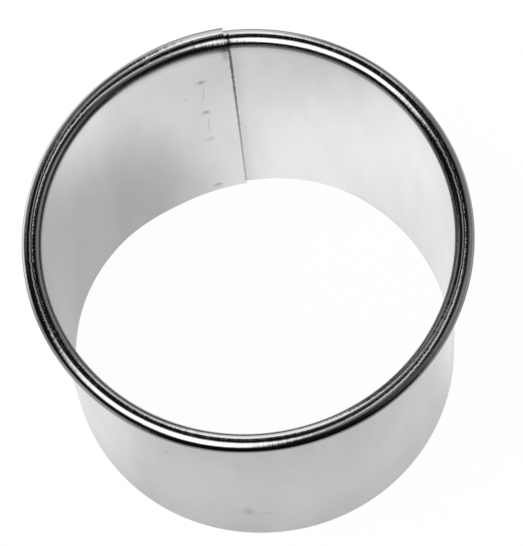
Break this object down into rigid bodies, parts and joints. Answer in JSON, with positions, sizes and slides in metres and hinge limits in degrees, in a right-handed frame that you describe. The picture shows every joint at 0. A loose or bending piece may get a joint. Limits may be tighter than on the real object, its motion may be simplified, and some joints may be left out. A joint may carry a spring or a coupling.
{
  "type": "biscuit cutter",
  "caption": "Plain round biscuit cutter: a ring of thin steel with a rolled upper rim, a bare cutting edge and a lapped, spot-welded seam.",
  "frame": {"origin": "centre of the cutting edge, in the plane the cutter stands on", "axes": "+Z from the cutting edge to the rolled rim, +Y through the middle of the lapped seam, +X to the right of the seam as seen from inside the ring"},
  "size_m": [0.0438, 0.0441, 0.0348],
  "materials": {
    "sheet_steel": "bright satin wall with a polished rolled rim",
    "weld_steel": "dull, slightly darkened by the welding heat"
  },
  "bodies": {
    "root": {"band": "sheet_steel", "spot_weld_1": "weld_steel", "spot_weld_2": "weld_steel", "spot_weld_3": "weld_steel", "spot_weld_4": "weld_steel", "spot_weld_5": "weld_steel"}
  },
  "joints": []
}
